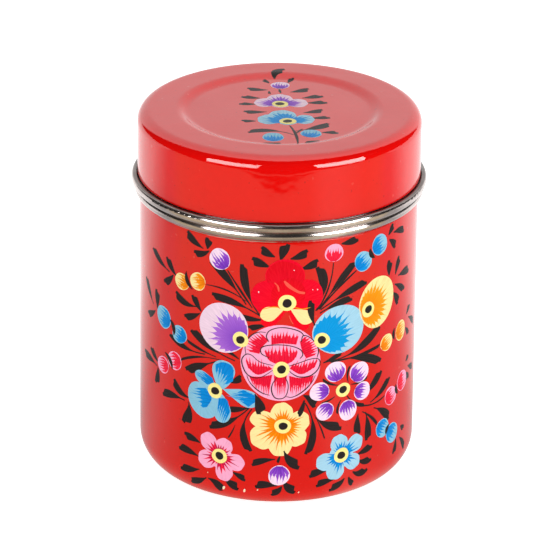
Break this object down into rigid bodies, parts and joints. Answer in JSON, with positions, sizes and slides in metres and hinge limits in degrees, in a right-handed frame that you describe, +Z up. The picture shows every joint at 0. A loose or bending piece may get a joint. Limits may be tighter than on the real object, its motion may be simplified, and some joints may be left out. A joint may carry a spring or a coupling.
{
  "type": "flour sifter",
  "caption": "Round lidded metal canister with a fine wire sieve under its lift-off lid, for shaking flour or sugar through the mesh.",
  "frame": {"origin": "centre of the plane that the canister stands on", "axes": "+Z up along the canister's axis; -Y towards the viewer of the painted front; +X to that viewer's right"},
  "size_m": [0.0954, 0.0954, 0.1224],
  "materials": {
    "red_enamel": "gloss lacquer over tinplate",
    "bright_steel": "bright spun",
    "wire_steel": "drawn wire"
  },
  "bodies": {
    "canister": {"canister_body": "red_enamel"},
    "sieve": {"sieve_frame": "bright_steel", "mesh_clamp_ring": "bright_steel", "mesh_warp_wires": "wire_steel", "mesh_weft_wires": "wire_steel"},
    "lid": {"lid": "red_enamel"}
  },
  "joints": [
    {"name": "sieve_lift", "type": "slide", "parent": "canister", "child": "sieve", "axis": [0, 0, 1], "range_m": [0, 0.05]},
    {"name": "lid_lift", "type": "slide", "parent": "sieve", "child": "lid", "axis": [0, 0, 1], "range_m": [0, 0.06]}
  ]
}
